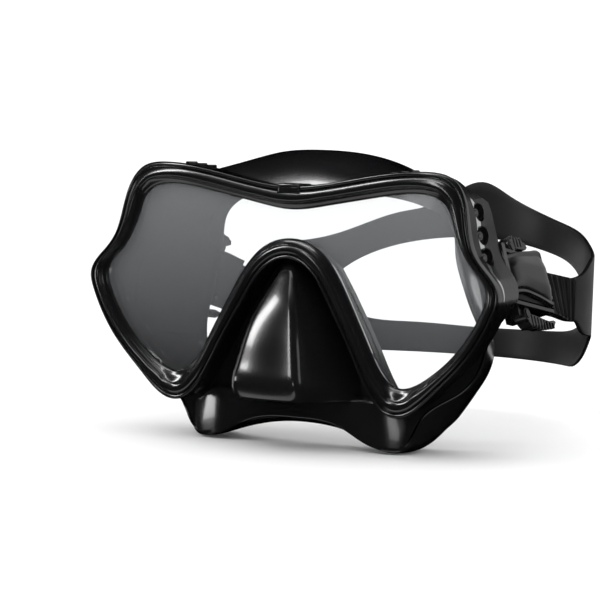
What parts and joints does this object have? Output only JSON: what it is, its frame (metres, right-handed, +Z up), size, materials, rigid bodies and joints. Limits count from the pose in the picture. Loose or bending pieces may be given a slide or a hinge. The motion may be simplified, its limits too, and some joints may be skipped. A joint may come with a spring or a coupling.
{
  "type": "snorkel mask",
  "caption": "Snorkelling mask with a one-piece flat window, rigid frame, soft face skirt with nose pocket, split head strap and a swinging quick-release buckle at each temple.",
  "frame": {"origin": "on the surface the mask stands on, in the plane of symmetry, midway between the nose pocket's front and the strap's rear bend", "axes": "+X to the right as seen from in front of the lens (the wearer's left), +Y from the lens towards the back of the head, +Z up"},
  "size_m": [0.172, 0.212, 0.1162],
  "materials": {
    "lens_glass": "clear polished tempered glass",
    "bezel_gloss": "gloss black",
    "frame_black": "satin to gloss black",
    "skirt_silicone": "glossy black silicone",
    "strap_silicone": "satin black silicone",
    "insert_chrome": "bright plated",
    "plug_black": "gloss black",
    "buckle_black": "satin black",
    "cover_black": "satin black with a soft sheen",
    "roller_black": "fine matt",
    "lever_black": "satin black, ribbed",
    "pin_steel": "plain"
  },
  "bodies": {
    "mask": {"lens": "lens_glass", "front_bezel": "bezel_gloss", "rear_frame": "frame_black", "brow_clip": "frame_black", "skirt": "skirt_silicone", "strap": "strap_silicone", "temple_insert_right": "insert_chrome", "temple_insert_left": "insert_chrome", "temple_plugs_right": "plug_black", "temple_plugs_left": "plug_black", "hinge_pin_right": "pin_steel", "hinge_pin_left": "pin_steel"},
    "buckle_right": {"buckle_housing_right": "buckle_black", "buckle_cover_right": "cover_black", "roller_pin_right": "pin_steel", "lever_pins_right": "pin_steel", "strap_end_right": "strap_silicone"},
    "roller_right": {"strap_roller_right": "roller_black"},
    "lever_upper_right": {"release_lever_upper_right": "lever_black"},
    "lever_lower_right": {"release_lever_lower_right": "lever_black"},
    "buckle_left": {"buckle_housing_left": "buckle_black", "buckle_cover_left": "cover_black", "roller_pin_left": "pin_steel", "lever_pins_left": "pin_steel", "strap_end_left": "strap_silicone"},
    "roller_left": {"strap_roller_left": "roller_black"},
    "lever_upper_left": {"release_lever_upper_left": "lever_black"},
    "lever_lower_left": {"release_lever_lower_left": "lever_black"}
  },
  "joints": [
    {"name": "buckle_swing_right", "type": "hinge", "parent": "mask", "child": "buckle_right", "pos_m": [0.0721, -0.05726, 0.0695], "axis": [-0.3368, 0.1736, 0.9254], "range_deg": [-13, 15]},
    {"name": "roller_spin_right", "type": "hinge", "parent": "buckle_right", "child": "roller_right", "pos_m": [0.07297, -0.04791, 0.06806], "axis": [-0.3368, 0.1736, 0.9254], "continuous": true},
    {"name": "lever_press_upper_right", "type": "hinge", "parent": "buckle_right", "child": "lever_upper_right", "pos_m": [0.0692, -0.03617, 0.0794], "axis": [-0.937, 0.0344, -0.3475], "range_deg": [0, 6], "stiffness_Nm_per_rad": 0.3, "springref_deg": -5.73},
    {"name": "lever_press_lower_right", "type": "hinge", "parent": "buckle_right", "child": "lever_lower_right", "pos_m": [0.0785, -0.04096, 0.05386], "axis": [0.937, -0.0344, 0.3475], "range_deg": [0, 6], "stiffness_Nm_per_rad": 0.3, "springref_deg": -5.73},
    {"name": "buckle_swing_left", "type": "hinge", "parent": "mask", "child": "buckle_left", "pos_m": [-0.0721, -0.05726, 0.0695], "axis": [-0.3368, -0.1736, -0.9254], "range_deg": [-32, 0]},
    {"name": "roller_spin_left", "type": "hinge", "parent": "buckle_left", "child": "roller_left", "pos_m": [-0.07003, -0.04832, 0.06707], "axis": [0.3368, 0.1736, 0.9254], "continuous": true},
    {"name": "lever_press_upper_left", "type": "hinge", "parent": "buckle_left", "child": "lever_upper_left", "pos_m": [-0.06331, -0.03697, 0.07741], "axis": [-0.916, 0.2879, 0.2794], "range_deg": [0, 6], "stiffness_Nm_per_rad": 0.3, "springref_deg": -5.73},
    {"name": "lever_press_lower_left", "type": "hinge", "parent": "buckle_left", "child": "lever_lower_left", "pos_m": [-0.07261, -0.04176, 0.05186], "axis": [0.916, -0.2879, -0.2794], "range_deg": [0, 6], "stiffness_Nm_per_rad": 0.3, "springref_deg": -5.73}
  ]
}
